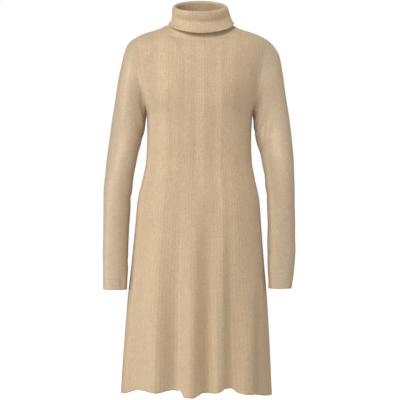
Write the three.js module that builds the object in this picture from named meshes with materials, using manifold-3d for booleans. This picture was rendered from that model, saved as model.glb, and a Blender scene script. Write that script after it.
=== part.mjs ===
// Long-sleeved knee-length dress in fine ribbed knit, with a turned-down roll collar and an A-line skirt.
// It is shown filled out, as it is worn. Millimetres, +Z up, the front faces -Y, right and left are the
// wearer's. The origin is the middle of the neck base, level with the inner ends of the shoulder seams.
import * as THREE from "three";
import { mergeVertices } from "three/addons/utils/BufferGeometryUtils.js";
import Module from "manifold-3d";

const WALL = 2; // thickness of the knit between its ribs
const SEAM = 0.3; // gap between two sewn pieces
const RIB_RAISE = 0.6; // height of a rib over the plain knit
const RIBS_PER_PANEL = 54; // 7.3 mm apart on the chest
const COLLAR_RIBS = 40;
const COLLAR_WALL = 2.2;
const COLLAR_INSET = 1.5; // how far the middle of its sewn edge lies within the neckline
const COLLAR_LIFT = 0.3; // and above it
const COLLAR_STAND_ROWS = 4; // rows over which the neckline's shape turns into an ellipse

const UNDERARM_Z = -240; // bottom of the armholes
const WIDEST_Z = -60; // where the shoulders are widest, above the armholes' middle
const HEM_Z = -972;
const HEM_SWAY = -8.5; // how far the hem swings to the wearer's right
const FRONT_HEM_RISE = 24; // how much higher the hem hangs in front, where the bust takes up length
const HEM_RISE_POWER = 6; // how flat that rise is across the front before it falls to the side seams

const NECK = { half: 97, front: 80, back: 60, side: -2, frontTilt: 0.525, backTilt: 0.35 };
const BACK_NECK_POWER = 2; // how low the back neckline keeps near the shoulder seams
const ARMHOLE = { topX: 165, topZ: -27, lowX: 139.8 }; // the plane that each sleeve is sewn on at

const SLEEVE_COLUMNS = 32;
const MERGE_DISTANCE = 1e-4; // corners nearer than this are one
const LEAST_NECK_SLOPE = 0.6; // keeps the neckline's rim from growing long where the cloth stands upright
const CUT_BLOCK = 320; // edge of the blocks that cut the armholes, larger than a shoulder
const SLOPE_STEP = 0.5; // distance over which a slope is measured
const HALVINGS = 30; // steps of a search by halving
const FINE_STEPS = 8; // steps of a measured curve for each column that it is divided into

// Level sections of the body: half width, depth in front of and behind the side seams, and the power of
// the superellipse that rounds them.
const BODY = [
  { z: 19, half: 76, front: 1, back: 60, power: 2.2 },
  { z: 10, half: 90, front: 2, back: 68, power: 2.2 },
  { z: -2, half: 97, front: 6, back: 76, power: 2.2 },
  { z: -11, half: 120, front: 26, back: 81, power: 2.2 },
  { z: -20, half: 147, front: 43, back: 85, power: 2.2 },
  { z: -32, half: 171, front: 61, back: 89, power: 2.2 },
  { z: -44, half: 186, front: 76.5, back: 92, power: 2.2 },
  { z: -60, half: 194, front: 88, back: 95, power: 2.2 },
  { z: -100, half: 184, front: 99, back: 99, power: 2.2 },
  { z: -150, half: 168, front: 107, back: 101, power: 2.2 },
  { z: -200, half: 151.5, front: 109, back: 98, power: 2.2 },
  { z: -240, half: 139.5, front: 105, back: 94, power: 2.2 },
  { z: -301, half: 137.4, front: 98, back: 88, power: 2.25 },
  { z: -354, half: 139.5, front: 94, back: 85, power: 2.3 },
  { z: -407, half: 149, front: 96, back: 90, power: 2.3 },
  { z: -460, half: 160.7, front: 103, back: 102, power: 2.3 },
  { z: -540, half: 167.5, front: 110, back: 114, power: 2.35 },
  { z: -619, half: 174.4, front: 116, back: 119, power: 2.4 },
  { z: -725, half: 184.6, front: 123, back: 126, power: 2.45 },
  { z: -831, half: 191.9, front: 130, back: 133, power: 2.5 },
  { z: -980, half: 200.5, front: 139, back: 141, power: 2.5 },
];

// The panels' rows: intervals between the upper edge and the first level row, then the level rows.
const YOKE_ROWS = 4;
const YOKE_CROWDING = 1.5; // power by which the first intervals are shorter
const CHEST_LEVELS = [-48, -85, -125, -180];
const LEAST_STEP = 3; // height of a row where the rows crowd below the shoulder's end
const LEVELS = [UNDERARM_Z, -305, -365, -430, -510, -610, -720, -840, HEM_Z];

// Folds of the skirt: the crest's place across, its height at the hem, where it starts, how far it
// spreads to the wearer's right (toward -X) and left, and how far the hem drops at its crest.
const FRONT_FOLDS = [
  { x: -189, height: 12, top: -750, right: 20, left: 21, dip: 4 },
  { x: -105, height: 28, top: -550, right: 63, left: 45, dip: 5 },
  { x: -10, height: 31, top: -430, right: 50, left: 32, dip: 14 },
  { x: 57, height: 26, top: -486, right: 35, left: 32, dip: 0 },
  { x: 143, height: 29, top: -640, right: 54, left: 20, dip: 9 },
];
const BACK_FOLDS = [
  { x: -152, height: 24, top: -640, right: 38, left: 40, dip: 7 },
  { x: -66, height: 30, top: -500, right: 44, left: 42, dip: 9 },
  { x: 14, height: 23, top: -570, right: 36, left: 38, dip: 6 },
  { x: 96, height: 31, top: -450, right: 42, left: 46, dip: 9 },
  { x: 171, height: 14, top: -720, right: 26, left: 24, dip: 4 },
];

// Soft fullness that the cut gives the front at the bust: place, height and reach across and up.
const FULLNESS = [
  { x: -74, z: -172, height: 9, across: 62, up: 66 },
  { x: 74, z: -172, height: 9, across: 62, up: 66 },
];

// Sections of each sleeve below the armhole: the outer and inner point, half the depth, the middle's
// place forward or back, and how far the section has turned from the armhole's outline into an ellipse.
const RIGHT_SLEEVE = [
  { outX: 181, outZ: -39, inX: 140.6, inZ: -240.5, depth: 54.5, y: 0, round: 0.1 },
  { outX: 193, outZ: -55, inX: 141.4, inZ: -249, depth: 53.5, y: 0, round: 0.25 },
  { outX: 201.5, outZ: -80, inX: 143.4, inZ: -262, depth: 53, y: 0, round: 0.45 },
  { outX: 210.5, outZ: -118, inX: 147.3, inZ: -280, depth: 53, y: 0, round: 0.7 },
  { outX: 219, outZ: -165, inX: 152.6, inZ: -303, depth: 52.5, y: 0, round: 0.9 },
  { outX: 230, outZ: -240, inX: 162, inZ: -335, depth: 51, y: 0, round: 1 },
  { outX: 240.5, outZ: -312, inX: 169.5, inZ: -372, depth: 48, y: -1, round: 1 },
  { outX: 248.5, outZ: -378, inX: 176, inZ: -412, depth: 45, y: -3, round: 1 },
  { outX: 253.5, outZ: -445, inX: 181.5, inZ: -462, depth: 42, y: -7, round: 1 },
  { outX: 254, outZ: -515, inX: 184.5, inZ: -520, depth: 39, y: -13, round: 1 },
  { outX: 254, outZ: -580, inX: 187.5, inZ: -582, depth: 36, y: -22, round: 1 },
  { outX: 253.5, outZ: -640, inX: 188, inZ: -640, depth: 33, y: -32, round: 1 },
  { outX: 252.6, outZ: -694, inX: 189.5, inZ: -694, depth: 30, y: -42, round: 1 },
];
const LEFT_SLEEVE = [
  { outX: 182, outZ: -39, inX: 140.6, inZ: -240.5, depth: 53, y: 0, round: 0.1 },
  { outX: 198, outZ: -55, inX: 141.2, inZ: -249, depth: 51.5, y: 0, round: 0.25 },
  { outX: 212, outZ: -80, inX: 142.6, inZ: -262, depth: 51, y: 0, round: 0.45 },
  { outX: 219.5, outZ: -118, inX: 145.6, inZ: -280, depth: 51, y: 0, round: 0.7 },
  { outX: 226, outZ: -165, inX: 149.5, inZ: -303, depth: 50.5, y: 0, round: 0.9 },
  { outX: 237, outZ: -240, inX: 160, inZ: -335, depth: 51, y: 0, round: 1 },
  { outX: 246, outZ: -312, inX: 168, inZ: -372, depth: 48, y: -1, round: 1 },
  { outX: 250.5, outZ: -378, inX: 174, inZ: -412, depth: 45, y: -3, round: 1 },
  { outX: 251.5, outZ: -445, inX: 178, inZ: -462, depth: 42, y: -7, round: 1 },
  { outX: 252.5, outZ: -515, inX: 179.5, inZ: -520, depth: 39, y: -13, round: 1 },
  { outX: 252.5, outZ: -580, inX: 178.5, inZ: -582, depth: 36, y: -22, round: 1 },
  { outX: 249, outZ: -640, inX: 179.2, inZ: -640, depth: 33, y: -32, round: 1 },
  { outX: 241.4, outZ: -691, inX: 180.5, inZ: -691, depth: 30, y: -42, round: 1 },
];

// The collar's middle surface, from the neck seam up the stand, over the roll and down the fall: half
// width, its middle's place across, reach forward and back, and the height at the side, front and back.
// Its first rows are also drawn to the neckline.
const COLLAR = [
  { half: 93.8, middle: 0, front: 75, back: 58.4, side: -0.5, frontZ: -42.6, backZ: 20.8 },
  { half: 84, middle: 0, front: 71.5, back: 56.5, side: 3, frontZ: -33, backZ: 26 },
  { half: 75, middle: 0, front: 65, back: 53.5, side: 10.5, frontZ: -20, backZ: 33 },
  { half: 69, middle: 0, front: 60, back: 50.5, side: 25, frontZ: -3, backZ: 48 },
  { half: 64.5, middle: 0, front: 58.5, back: 48, side: 43, frontZ: 14, backZ: 61 },
  { half: 63.5, middle: 0, front: 59, back: 46.5, side: 49, frontZ: 24, backZ: 69 },
  { half: 66.5, middle: 0.5, front: 65, back: 49.5, side: 53.5, frontZ: 30.5, backZ: 74 },
  { half: 71, middle: 1.5, front: 74.5, back: 54, side: 51.5, frontZ: 26, backZ: 72 },
  { half: 74, middle: 2.5, front: 72.5, back: 58, side: 42.5, frontZ: 15.5, backZ: 61 },
  { half: 75.5, middle: 3.5, front: 65.5, back: 60, side: 32, frontZ: 3, backZ: 47 },
  { half: 79, middle: 4.5, front: 71, back: 64.5, side: 18, frontZ: -12, backZ: 33 },
  { half: 86, middle: 5, front: 84.5, back: 69.5, side: 8, frontZ: -26, backZ: 20 },
];

const { clamp, lerp } = THREE.MathUtils;
const wasm = await Module();
wasm.setup();

// One column of a table at height z, straight between the rows, which run downward.
function at(table, column, z) {
  const below = table.findIndex((row) => row.z <= z);
  const i = clamp(below === -1 ? table.length - 1 : below, 1, table.length - 1);
  const share = clamp((table[i - 1].z - z) / (table[i - 1].z - table[i].z), 0, 1);
  return lerp(table[i - 1][column], table[i][column], share);
}

// A soft bump that is 1 in its middle and 0 from one reach away.
function bump(offset) {
  return Math.abs(offset) < 1 ? Math.cos((Math.PI / 2) * offset) ** 2 : 0;
}

// The sum over the folds of one side, at a place on it, of a column of their table, spread as they are.
function foldSum(side, column, x, z) {
  let sum = 0;
  for (const fold of side === "front" ? FRONT_FOLDS : BACK_FOLDS) {
    const down = clamp((fold.top - z) / (fold.top - HEM_Z), 0, 1);
    const reach = x < fold.x ? fold.right : fold.left;
    sum += fold[column] * down * (2 - down) * bump((x - fold.x) / reach);
  }
  return sum;
}

// Height of the hem: it drops at each fold's crest, and hangs higher in front than at the sides.
function hemHeight(side, x) {
  const rise = side === "front" ? FRONT_HEM_RISE * (1 - (x / at(BODY, "half", HEM_Z)) ** HEM_RISE_POWER) : 0;
  return HEM_Z + rise - foldSum(side, "dip", x, HEM_Z);
}

function fullness(x, z) {
  let sum = 0;
  for (const spot of FULLNESS) {
    sum += spot.height * bump((x - spot.x) / spot.across) * bump((z - spot.z) / spot.up);
  }
  return sum;
}

// Distance of the cloth from the plane of the side seams, for the front or the back.
function depthAt(side, x, z) {
  const power = at(BODY, "power", z);
  const inside = Math.max(1 - (Math.abs(x) / at(BODY, "half", z)) ** power, 0);
  const fuller = side === "front" ? fullness(x, z) : 0;
  return (at(BODY, side, z) + foldSum(side, "height", x, z) + fuller) * inside ** (1 / power);
}

// Height of the shoulder ridge at a distance from the middle: where the level section is that wide.
function ridgeHeight(x) {
  let [low, high] = [WIDEST_Z, BODY[0].z];
  for (let step = 0; step < HALVINGS; step += 1) {
    const middle = (low + high) / 2;
    if (at(BODY, "half", middle) > Math.abs(x)) low = middle;
    else high = middle;
  }
  return (low + high) / 2;
}

function onNeckline(x) {
  return Math.abs(x) < NECK.half - SEAM;
}

// Height of the panel's upper edge: the neckline, half an ellipse that tilts down in front and curves up
// behind, or the shoulder seam.
function upperEdge(side, x) {
  if (!onNeckline(x)) return ridgeHeight(x);
  const across = Math.sqrt(1 - (x / NECK.half) ** 2);
  if (side === "front") return NECK.side - NECK.frontTilt * NECK.front * across;
  return NECK.side + NECK.backTilt * NECK.back * across ** BACK_NECK_POWER;
}

// Places across of the grid's columns on the level section at z, evenly spaced along the cloth.
function evenColumns(side, z, count) {
  const half = at(BODY, "half", z);
  const fine = FINE_STEPS * count;
  const xs = [];
  const lengths = [0];
  for (let k = 0; k <= fine; k += 1) {
    xs.push(-half * Math.cos((Math.PI * k) / fine));
    if (k > 0) {
      const rise = depthAt(side, xs[k], z) - depthAt(side, xs[k - 1], z);
      lengths.push(lengths[k - 1] + Math.hypot(xs[k] - xs[k - 1], rise));
    }
  }
  const places = [];
  let k = 0;
  for (let column = 0; column <= count; column += 1) {
    const wanted = (lengths[fine] * column) / count;
    while (k < fine - 1 && lengths[k + 1] < wanted) k += 1;
    const share = (wanted - lengths[k]) / (lengths[k + 1] - lengths[k]);
    places.push(lerp(xs[k], xs[k + 1], clamp(share, 0, 1)));
  }
  return places;
}

// A point of the plain surface of the front or back, with the unit normal there.
function clothAt(side, x, z) {
  const out = side === "front" ? -1 : 1;
  const step = SLOPE_STEP;
  const acrossSlope = depthAt(side, x + step, z) - depthAt(side, x - step, z);
  const upSlope = depthAt(side, x, z + step) - depthAt(side, x, z - step);
  const sway = HEM_SWAY * clamp((UNDERARM_Z - z) / (UNDERARM_Z - HEM_Z), 0, 1);
  return {
    point: new THREE.Vector3(x + sway, out * (SEAM / 2 + depthAt(side, x, z)), z),
    normal: new THREE.Vector3(-acrossSlope, 2 * step * out, -upSlope).normalize(),
  };
}

// Heights of one column's points above the underarm: a few steps from the upper edge to the first level
// row, then the level rows. Where the edge lies lower than they do, they crowd below it.
function chestHeights(edge) {
  const level = CHEST_LEVELS.map((z, k) => Math.min(z, edge - LEAST_STEP * (k + YOKE_ROWS)));
  const share = (k) => (k / YOKE_ROWS) ** YOKE_CROWDING;
  const yoke = Array.from({ length: YOKE_ROWS }, (_, k) => lerp(edge, level[0], share(k)));
  return [...yoke, ...level];
}

// The plain cloth of the front or back in rows, down from the shoulders and neckline. Above the underarm
// a column keeps its place across, and spreads toward the shoulders.
function panelCloth(side, count) {
  const low = evenColumns(side, UNDERARM_Z, count);
  const widest = at(BODY, "half", WIDEST_Z);
  const narrow = at(BODY, "half", UNDERARM_Z);
  const columns = low.map((lowX, j) => {
    const topX = widest * ((2 * j) / count - 1);
    return chestHeights(upperEdge(side, topX)).map((z) => {
      const spread = z > WIDEST_Z ? 1 : (at(BODY, "half", z) - narrow) / (widest - narrow);
      return clothAt(side, lerp(lowX, topX, spread), z);
    });
  });
  const rows = columns[0].map((_, i) => columns.map((column) => column[i]));
  for (const level of LEVELS) {
    const half = at(BODY, "half", level);
    rows.push(
      evenColumns(side, level, count).map((x) => {
        const z = level === HEM_Z ? hemHeight(side, x) : level;
        return clothAt(side, (x * at(BODY, "half", z)) / half, z);
      }),
    );
  }
  return side === "front" ? rows : rows.map((row) => row.reverse());
}

// Outward unit normals of a round grid of points, whose rows run downward and whose columns run to the
// right as seen from outside.
function normalsOf(rows) {
  const lastRow = rows.length - 1;
  const width = rows[0].length;
  return rows.map((row, i) =>
    row.map((_, j) => {
      const down = rows[Math.min(i + 1, lastRow)][j].clone().sub(rows[Math.max(i - 1, 0)][j]);
      const along = row[(j + 1) % width].clone().sub(row[(j + width - 1) % width]);
      return down.cross(along).normalize();
    }),
  );
}

// A copy of a grid moved along its normals, where raise gives the distance for a row and column.
function moved(rows, normals, raise) {
  return rows.map((row, i) => row.map((p, j) => p.clone().addScaledVector(normals[i][j], raise(i, j))));
}

// Every second column of a grid.
function halved(rows) {
  return rows.map((row) => row.filter((_, j) => j % 2 === 0));
}

// A closed wall between an outer grid and an inner one with half its columns.
function wallBetween(outer, inner, round) {
  const positions = [...outer.flat(), ...inner.flat()].flatMap((p) => p.toArray());
  const [width, innerWidth, last] = [outer[0].length, inner[0].length, outer.length - 1];
  const start = outer.length * width;
  const out = (i, j) => i * width + (j % width);
  const within = (i, j) => start + i * innerWidth + (j % innerWidth);
  const faces = [];
  const triangle = (a, b, c) => faces.push(a, b, c);
  const quad = (a, b, c, d) => faces.push(a, b, c, a, c, d);
  const spans = round ? width : width - 1;
  for (let i = 0; i < last; i += 1) {
    for (let j = 0; j < spans; j += 1) {
      quad(out(i, j), out(i + 1, j), out(i + 1, j + 1), out(i, j + 1));
    }
    for (let j = 0; j < spans / 2; j += 1) {
      quad(within(i, j), within(i, j + 1), within(i + 1, j + 1), within(i + 1, j));
    }
    if (!round) {
      quad(out(i, 0), within(i, 0), within(i + 1, 0), out(i + 1, 0));
      quad(out(i, spans), out(i + 1, spans), within(i + 1, spans / 2), within(i, spans / 2));
    }
  }
  for (let j = 0; j < spans / 2; j += 1) {
    const [a, b, c] = [2 * j, 2 * j + 1, 2 * j + 2];
    triangle(out(0, a), out(0, b), within(0, j));
    triangle(out(0, b), within(0, j + 1), within(0, j));
    triangle(out(0, b), out(0, c), within(0, j + 1));
    triangle(out(last, b), out(last, a), within(last, j));
    triangle(within(last, j + 1), out(last, b), within(last, j));
    triangle(out(last, c), out(last, b), within(last, j + 1));
  }
  const geometry = new THREE.BufferGeometry();
  geometry.setAttribute("position", new THREE.Float32BufferAttribute(positions, 3));
  geometry.setIndex(faces);
  return geometry;
}

function toSolid(geometry) {
  const bare = geometry.clone();
  bare.deleteAttribute("normal");
  bare.deleteAttribute("uv");
  const merged = mergeVertices(bare, MERGE_DISTANCE);
  return new wasm.Manifold(
    new wasm.Mesh({
      numProp: 3,
      vertProperties: merged.attributes.position.array,
      triVerts: new Uint32Array(merged.index.array),
    }),
  );
}

function toGeometry(solid) {
  const mesh = solid.getMesh();
  const geometry = new THREE.BufferGeometry();
  geometry.setAttribute("position", new THREE.BufferAttribute(mesh.vertProperties, 3));
  geometry.setIndex(new THREE.BufferAttribute(mesh.triVerts, 1));
  return geometry;
}

// Place across of the armhole's plane at height z.
function armholeX(z) {
  const slope = (ARMHOLE.topX - ARMHOLE.lowX) / (ARMHOLE.topZ - UNDERARM_Z);
  return ARMHOLE.lowX + slope * (z - UNDERARM_Z);
}

// Unit vector square to the armhole's plane, away from the body, and one up along the plane.
const ARMHOLE_UP = new THREE.Vector3(ARMHOLE.topX - ARMHOLE.lowX, 0, ARMHOLE.topZ - UNDERARM_Z).normalize();
const ARMHOLE_OUT = new THREE.Vector3(ARMHOLE_UP.z, 0, -ARMHOLE_UP.x);

// A block that lies beyond the armhole's plane, above the underarm, on the side of the given sign.
function beyondArmhole(sign) {
  const block = new THREE.BoxGeometry(CUT_BLOCK, CUT_BLOCK, CUT_BLOCK);
  block.translate(CUT_BLOCK / 2, 0, CUT_BLOCK / 2);
  block.rotateY(Math.atan2(ARMHOLE_UP.x, ARMHOLE_UP.z));
  block.translate(ARMHOLE.lowX, 0, UNDERARM_Z);
  if (sign < 0) block.rotateZ(Math.PI);
  return toSolid(block);
}

function panelGeometry(side) {
  const cloth = panelCloth(side, 2 * RIBS_PER_PANEL);
  const plain = cloth.map((row) => row.map((place) => place.point));
  const normals = cloth.map((row) => row.map((place) => place.normal));
  const [lastRow, lastColumn] = [plain.length - 1, plain[0].length - 1];
  const outer = moved(plain, normals, (i, j) => (j % 2 ? RIB_RAISE : 0));
  // The wall's rims lie flat in the seams: the side and shoulder seams stand upright between front and
  // back, the neckline's rim is upright too, and the hem's is level.
  normals.forEach((row, i) =>
    row.forEach((normal, j) => {
      const neck = i === 0 && onNeckline(plain[i][j].x);
      if (neck) normal.set(0, 0, 1 / Math.max(normal.z, LEAST_NECK_SLOPE));
      else if (i === 0 || j === 0 || j === lastColumn) normal.setY(0).normalize();
      if (i === lastRow) normal.setZ(0).normalize();
    }),
  );
  const inner = moved(plain, normals, () => -WALL);
  const wall = toSolid(wallBetween(outer, halved(inner), false));
  return toGeometry(wall.subtract(beyondArmhole(1)).subtract(beyondArmhole(-1)));
}

// Height at which the armhole's outline ends: where its plane leaves the body, between two heights.
function armholeEnd(inside, outside) {
  let [within, beyond] = [inside, outside];
  for (let step = 0; step < HALVINGS; step += 1) {
    const middle = (within + beyond) / 2;
    if (at(BODY, "half", middle) > armholeX(middle)) within = middle;
    else beyond = middle;
  }
  return within;
}

// Points of the armhole's outline on the side of the given sign, evenly spaced: from its top down the
// back and up the front on the wearer's left, and down the front first on the right.
function armholeLoop(sign, count) {
  const fine = FINE_STEPS * (count / 4);
  const loop = [];
  const top = armholeEnd(WIDEST_Z, BODY[0].z);
  const low = armholeEnd(WIDEST_Z, UNDERARM_Z);
  for (let k = 0; k < 2 * fine; k += 1) {
    const side = k < fine === sign > 0 ? "back" : "front";
    const z = (top + low) / 2 + ((top - low) / 2) * Math.cos((Math.PI * k) / fine);
    const depth = depthAt(side, armholeX(z), z);
    loop.push(new THREE.Vector3(sign * armholeX(z), side === "back" ? depth : -depth, z));
  }
  const curve = new THREE.CatmullRomCurve3(loop, true);
  curve.arcLengthDivisions = FINE_STEPS * loop.length;
  return curve.getSpacedPoints(count).slice(0, count);
}

function sleeveGeometry(table, sign) {
  const loop = armholeLoop(sign, SLEEVE_COLUMNS);
  const away = ARMHOLE_OUT.clone().multiply(new THREE.Vector3(sign, 1, 1));
  const up = ARMHOLE_UP.clone().multiply(new THREE.Vector3(sign, 1, 1));
  const top = loop[0].clone();
  const low = loop[SLEEVE_COLUMNS / 2].clone();
  const middle = top.clone().add(low).divideScalar(2);
  const reach = top.distanceTo(low) / 2;
  const deepest = Math.max(...loop.map((p) => Math.abs(p.y)));
  const rows = [loop.map((p) => p.clone().addScaledVector(away, SEAM))];
  for (const ring of table) {
    const outPoint = new THREE.Vector3(sign * ring.outX, ring.y, ring.outZ);
    const inPoint = new THREE.Vector3(sign * ring.inX, ring.y, ring.inZ);
    const centre = outPoint.clone().add(inPoint).divideScalar(2);
    const arm = outPoint.clone().sub(inPoint).divideScalar(2);
    rows.push(
      loop.map((p, j) => {
        const angle = (2 * Math.PI * j) / SLEEVE_COLUMNS;
        const offset = p.clone().sub(middle);
        const along = lerp(offset.dot(up) / reach, Math.cos(angle), ring.round);
        const across = lerp(p.y / deepest, sign * Math.sin(angle), ring.round);
        return centre.clone().addScaledVector(arm, along).add(new THREE.Vector3(0, across * ring.depth, 0));
      }),
    );
  }
  const normals = normalsOf(rows);
  normals[0].forEach((normal) => normal.addScaledVector(away, -normal.dot(away)).normalize());
  normals[rows.length - 1].forEach((normal) => normal.setZ(0).normalize());
  const inner = moved(rows, normals, () => -WALL);
  return wallBetween(rows, halved(inner), true);
}

// A point of the collar's sewn edge: on the neckline at an angle round it, moved a little in and up.
function sewnEdge(angle) {
  const x = NECK.half * Math.cos(angle);
  const side = Math.sin(angle) < 0 ? "front" : "back";
  const z = onNeckline(x) ? upperEdge(side, x) : NECK.side;
  const y = Math.sign(Math.sin(angle)) * depthAt(side, x, z);
  const [acrossShare, aheadShare] = [1 - COLLAR_INSET / NECK.half, 1 - COLLAR_INSET / NECK.front];
  return new THREE.Vector3(x * acrossShare, y * aheadShare, z + COLLAR_LIFT);
}

function collarGeometry() {
  const columns = 2 * COLLAR_RIBS;
  const ellipse = (ring, angle) => {
    const [reach, far] = Math.sin(angle) < 0 ? [ring.front, ring.frontZ] : [ring.back, ring.backZ];
    const z = lerp(ring.side, far, Math.abs(Math.sin(angle)));
    return new THREE.Vector3(ring.middle + ring.half * Math.cos(angle), reach * Math.sin(angle), z);
  };
  const rows = COLLAR.map((ring, i) =>
    Array.from({ length: columns }, (_, j) => {
      const angle = (2 * Math.PI * j) / columns;
      const fromEllipse = sewnEdge(angle).sub(ellipse(COLLAR[0], angle));
      return ellipse(ring, angle).addScaledVector(fromEllipse, Math.max(1 - i / COLLAR_STAND_ROWS, 0));
    }),
  );
  const normals = normalsOf(rows);
  const lastRow = rows.length - 1;
  const outer = moved(rows, normals, (i, j) => {
    const rib = j % 2 && i > 0 && i < lastRow ? RIB_RAISE / 2 : 0;
    return COLLAR_WALL / 2 + rib;
  });
  const inner = moved(rows, normals, () => -COLLAR_WALL / 2);
  return wallBetween(outer, halved(inner), true);
}

const RIBBED_KNIT = new THREE.MeshStandardMaterial({ color: 0xd3b89b, roughness: 0.95, metalness: 0 });
const PLAIN_KNIT = new THREE.MeshStandardMaterial({ color: 0xcdb193, roughness: 0.95, metalness: 0 });

const dress = new THREE.Group();
const PIECES = {
  front: [panelGeometry("front"), RIBBED_KNIT],
  back: [panelGeometry("back"), RIBBED_KNIT],
  sleeve_right: [sleeveGeometry(RIGHT_SLEEVE, -1), PLAIN_KNIT],
  sleeve_left: [sleeveGeometry(LEFT_SLEEVE, 1), PLAIN_KNIT],
  collar: [collarGeometry(), RIBBED_KNIT],
};
for (const [name, [geometry, material]] of Object.entries(PIECES)) {
  const mesh = new THREE.Mesh(geometry, material);
  mesh.name = name;
  dress.add(mesh);
}

export default dress;
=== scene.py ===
"""Ribbed knit dress with a turned-down roll collar, filled out as it is worn, in one plain studio."""

import math

import bmesh
import bpy
import numpy as np
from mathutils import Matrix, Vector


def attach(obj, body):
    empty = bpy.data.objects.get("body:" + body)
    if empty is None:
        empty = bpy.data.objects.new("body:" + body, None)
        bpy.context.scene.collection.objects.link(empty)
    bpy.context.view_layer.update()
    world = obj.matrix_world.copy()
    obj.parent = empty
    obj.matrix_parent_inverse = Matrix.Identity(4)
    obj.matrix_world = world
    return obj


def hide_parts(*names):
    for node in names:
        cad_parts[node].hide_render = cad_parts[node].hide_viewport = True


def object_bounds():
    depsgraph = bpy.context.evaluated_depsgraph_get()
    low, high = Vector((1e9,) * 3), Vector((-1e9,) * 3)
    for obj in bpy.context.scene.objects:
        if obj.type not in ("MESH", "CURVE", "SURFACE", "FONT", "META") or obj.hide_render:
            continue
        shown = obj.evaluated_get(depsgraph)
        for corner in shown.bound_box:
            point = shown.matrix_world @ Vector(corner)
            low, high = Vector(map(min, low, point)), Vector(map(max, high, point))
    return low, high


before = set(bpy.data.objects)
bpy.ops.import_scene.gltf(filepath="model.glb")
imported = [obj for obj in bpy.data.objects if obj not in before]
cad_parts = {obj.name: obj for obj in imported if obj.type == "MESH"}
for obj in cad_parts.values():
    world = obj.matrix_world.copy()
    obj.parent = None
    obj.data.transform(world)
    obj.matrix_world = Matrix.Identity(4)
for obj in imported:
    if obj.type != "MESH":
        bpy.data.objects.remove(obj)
CAD_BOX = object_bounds()

bl_info = {
    "name": "Sweater dress",
    "version": (1, 0, 0),
    "blender": (4, 5, 0),
    "location": "View3D > Sidebar > Sweater dress",
    "description": "Builds the knitted pieces of a sweater dress around its frame",
    "category": "Object",
}

MM = 0.001
UNDERARM_Z = -240.0
WIDEST_Z = -60.0
HEM_BEND_Z = -700.0  # below this height the rows bend to follow the hem
HEM_FACING = 19.0  # height of the turned hem
YOKE_Z = -48.0  # the rows below this height are level on the whole chest
HEM_Z = -972.0
HEM_SWAY = -8.5
NECK = {
    "half": 97.0,
    "front": 80.0,
    "back": 60.0,
    "side": -2.0,
    "front_tilt": 0.525,
    "back_tilt": 0.35,
    "back_power": 2.0,  # how low the neckline keeps near the shoulder seams
}
COLLAR_INSET = 1.5  # how far the middle of the collar's sewn edge lies within the neckline
COLLAR_LIFT = 0.3  # and above it
STAND_FADE = (1, 0.75, 0.5, 0.25, 0)  # share of the neckline's shape in the collar's first rows
ARMHOLE_TOP = (165.0, -27.0)
ARMHOLE_LOW = (139.8, -240.0)
COLUMNS_PER_RIB = 4
SEAM_STITCH = 3.4  # length of a linked stitch, drawn about twice the real one to show

YOKE_ROWS = 15
CHEST_ROWS = 41
SKIRT_ROWS = 148
SLEEVE_ROWS = 190
SLEEVE_COLUMNS = 128
COLLAR_ROWS = 96
FINE_STEPS = 10  # steps of a measured curve for each column that it is divided into
HALVINGS = 26  # steps of a search by halving

FLECK_SCALE = 480.0  # flecks of wool to the metre
DRIFT_SCALE = 60.0  # drifts of shade to the metre
HAIR_SCALE = 900.0  # loose fibres to the metre
VEE_LEAN = 7.0  # how far a stitch's legs run back, in radians of its row
VEE_FADE = 1.4  # how fast a stitch flattens toward its wale's edges
CHANNEL_SHADE = 0.09  # painted shade: how much darker the channels between the ribs are coloured
STITCH_SHADE = 0.06  # painted shade in the hollows between stitches
KNIT_BUMP = 0.0006  # metres of relief that the knit's bump stands for

FLOOR_DROP = 0.45  # the floor lies this far below the hem
FLOOR_RADIUS = 14.0
CAMERA_SIDE = 0.0013  # how far the camera stands to the side of the dress's middle


def table(names, *rows):
    """The named columns of a short table, each as an array."""
    return dict(zip(names.split(), np.array(rows, float).T))


# Level sections of the body in millimetres: half width, depth before and behind the side seams, and the
# power of the superellipse that rounds them.
BODY = table(
    "z half front back power",
    (19, 76, 1, 60, 2.2),
    (10, 90, 2, 68, 2.2),
    (-2, 97, 6, 76, 2.2),
    (-11, 120, 26, 81, 2.2),
    (-20, 147, 43, 85, 2.2),
    (-32, 171, 61, 89, 2.2),
    (-44, 186, 76.5, 92, 2.2),
    (-60, 194, 88, 95, 2.2),
    (-100, 184, 99, 99, 2.2),
    (-150, 168, 107, 101, 2.2),
    (-200, 151.5, 109, 98, 2.2),
    (-240, 139.5, 105, 94, 2.2),
    (-301, 137.4, 98, 88, 2.25),
    (-354, 139.5, 94, 85, 2.3),
    (-407, 149, 96, 90, 2.3),
    (-460, 160.7, 103, 102, 2.3),
    (-540, 167.5, 110, 114, 2.35),
    (-619, 174.4, 116, 119, 2.4),
    (-725, 184.6, 123, 126, 2.45),
    (-831, 191.9, 130, 133, 2.5),
    (-980, 200.5, 139, 141, 2.5),
)

# Skirt folds: the crest's place across, its height at the hem, where it starts, its spread to either side
# and, behind, how far the hem drops there.
FOLDS = {
    "front": table(
        "x height top right left",
        (-189, 12, -750, 20, 21),
        (-105, 28, -550, 63, 45),
        (-10, 31, -430, 50, 32),
        (57, 26, -486, 35, 32),
        (143, 29, -640, 54, 20),
    ),
    "back": table(
        "x height top right left dip",
        (-152, 24, -640, 38, 40, 7),
        (-66, 30, -500, 44, 42, 9),
        (14, 23, -570, 36, 38, 6),
        (96, 31, -450, 42, 46, 9),
        (171, 14, -720, 26, 24, 4),
    ),
}

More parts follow.
